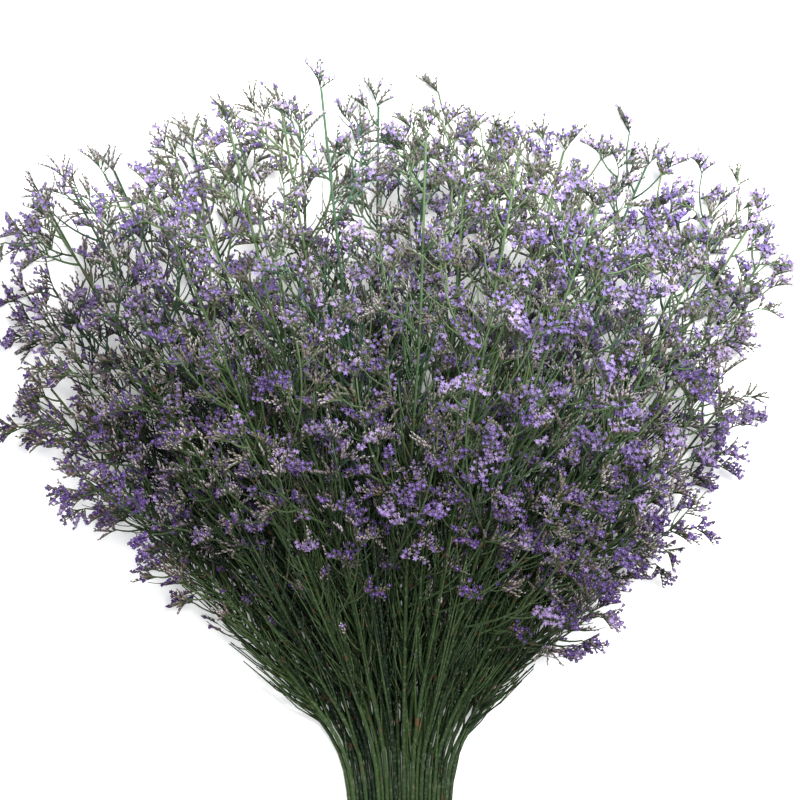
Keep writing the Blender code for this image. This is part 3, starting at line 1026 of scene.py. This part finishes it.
def shoot_green():
    """Stems and twigs: near black-green in painted shade deep in the neck and low down,
    a fresher green in painted light towards the flowers and the right, greyer and lighter
    where thin, more so in the painted light, with pale flecks, brown patches, fine ridges and pale
    cut ends."""
    paint = Paint("shoot_green")
    tone, part = paint.attribute("tone"), paint.attribute("part")
    # how much painted light there is, from 0 in painted shade to 1
    lit_share = paint.painted_light()
    lit_share = lit_share * lit_share
    # painted shade deep and low, painted light up, out and to the right
    base = lit_share.blend(tone.kept(0.0, 0.75).blend(*SHADED_STEM), tone.blend(*LIT_STEM))
    # the pale tint of thin twigs is stronger where the painted light is
    thin = part.kept(0.85, 0.1) * (0.08 + lit_share * 0.45)
    base = thin.blend(base, tone.blend(*THIN_STEM))
    flecks = paint.noise(scale=420).kept(0.52, 0.75) * 0.3
    brown = paint.noise(scale=110).kept(0.64, 0.72) * 0.6
    base = brown.blend(flecks.blend(base, STEM_FLECKS), STEM_BROWN)
    base = part.kept(1.0, CUT_PART).blend(base, CUT_FACE)
    rough = paint.noise(scale=160) * 0.25 + 0.5
    return paint.skin(base, rough, grain=900, strength=0.35, depth=0.0004)


def bud_brown():
    """Buds and scales: brown at the base, maroon on some, green on others, and lighter and greyer
    in painted light up, out and to the right, with pale pinkish dry tips on the heads that have
    faded."""
    paint = Paint("bud_brown")
    base = paint.attribute("tone").kept(0.05, 0.95).blend(*BUD)
    # painted light lightens and greys the buds up, out and to the right
    base = (paint.painted_light() * 0.75).blend(base, LIT_BUD)
    green = paint.noise(scale=60).kept(0.45, 0.62) * 0.5
    base = green.blend(base, GREEN_BUD)
    faded = paint.noise(scale=30).kept(0.46, 0.60)
    tips = paint.attribute("part").kept(0.40, 1.0) * (0.22 + faded * 0.65)
    base = tips.blend(base, DRY_TIP)
    rough = paint.noise(scale=300) * 0.2 + 0.65
    return paint.skin(base, rough, grain=1400, strength=0.3, depth=0.0003)


def petal_violet():
    """Open florets: a pale papery tube, petals from violet to lavender, darker in painted shade
    deep in the bunch and paler in painted light towards its outer flowers and the right, paler
    where they have faded, more so in the painted light, and lighter rims."""
    paint = Paint("petal_violet")
    tone, part = paint.attribute("tone").kept(0.1, 0.9), paint.attribute("part")
    # how much painted light there is, from 0 in painted shade to 1
    lit_share = paint.painted_light()
    lit_share = lit_share * lit_share
    # painted shade deep in the bunch, painted light up, out and to the right
    violet = lit_share.blend(tone.blend(*SHADED_PETAL), tone.blend(*LIT_PETAL))
    # faded petals show more where the painted light is
    faded = paint.noise(scale=30).kept(0.50, 0.64) * (0.22 + lit_share * 0.35)
    violet = faded.blend(violet, FADED_PETAL)
    violet = (part.kept(0.7, 1.0) * 0.3).blend(violet, PETAL_RIM)
    base = part.kept(0.0, 0.45).blend(FLORET_TUBE, violet)
    rough = paint.noise(scale=500) * 0.2 + 0.6
    return paint.skin(base, rough, grain=1800, strength=0.25, depth=0.0003)


# The photograph's framing, and the studio
PIXEL = 0.763  # millimetres of the flowers to a pixel of the photograph
WAIST_PIXEL = (400, 811)  # where the stems' lines meet in the photograph
FRAME_PIXELS = 800
CAMERA_HEIGHT = 2.0  # metres, as are the places below
FLOWER_HEIGHT = 0.10
SENSOR = 36.0  # millimetres
FLOOR_HALF = 12.0
KEY_PLACE = (0.8, 1.0, 1.9)
KEY_AIM = (0.0, 0.1, 0.08)  # the middle of the flowers


def set_camera(middle):
    """Straight down on the bunch, with the photograph's framing about the stems' waist."""
    right = (FRAME_PIXELS / 2 - WAIST_PIXEL[0]) * PIXEL
    above = (WAIST_PIXEL[1] - FRAME_PIXELS / 2) * PIXEL
    data = bpy.data.cameras.new("camera")
    data.sensor_width = SENSOR
    data.lens = SENSOR * (CAMERA_HEIGHT - FLOWER_HEIGHT) / (FRAME_PIXELS * PIXEL * MM)
    camera = new_object("camera", data)
    camera.location = ((right - middle[0]) * MM, (above - middle[1]) * MM, CAMERA_HEIGHT)
    bpy.context.scene.camera = camera


def set_floor():
    """A plain, pale floor, faintly lit from below like a light table."""
    mesh = bpy.data.meshes.new("floor")
    corners = [(-1, -1, 0), (1, -1, 0), (1, 1, 0), (-1, 1, 0)]
    mesh.from_pydata((np.array(corners) * FLOOR_HALF).tolist(), [], [(0, 1, 2, 3)])
    paint = Paint("floor_white")
    paint.set(base_color=FLOOR_WHITE, roughness=0.9)
    paint.set(emission_color=FLOOR_WHITE, emission_strength=0.25)
    mesh.materials.append(paint.material)
    new_object("floor", mesh)


def set_light():
    """A soft key light from beyond the flowers on the right, and light from all round."""
    data = bpy.data.lights.new("key", "AREA")
    data.size = 1.1
    data.energy = 95
    data.color = (1.0, 0.99, 0.97)
    light = new_object("key", data)
    light.location = KEY_PLACE
    away = np.array(KEY_PLACE) - np.array(KEY_AIM)
    pitch = math.atan2(math.hypot(away[0], away[1]), away[2])
    light.rotation_euler = (pitch, 0, math.atan2(away[0], -away[1]))
    world = bpy.data.worlds.new("studio")
    world.use_nodes = True
    sky = world.node_tree.nodes["Background"]
    sky.inputs["Color"].default_value = (0.96, 0.98, 1.0, 1.0)
    sky.inputs["Strength"].default_value = 0.92
    bpy.context.scene.world = world
    bpy.context.scene.view_settings.view_transform = "Standard"


stems = grow_bunch()
middle = bunch_middle(stems)
materials = [shoot_green(), bud_brown(), petal_violet()]
for number, stem in enumerate(stems):
    dress_stem(stem, number, middle, materials)
set_camera(middle)
set_floor()
set_light()
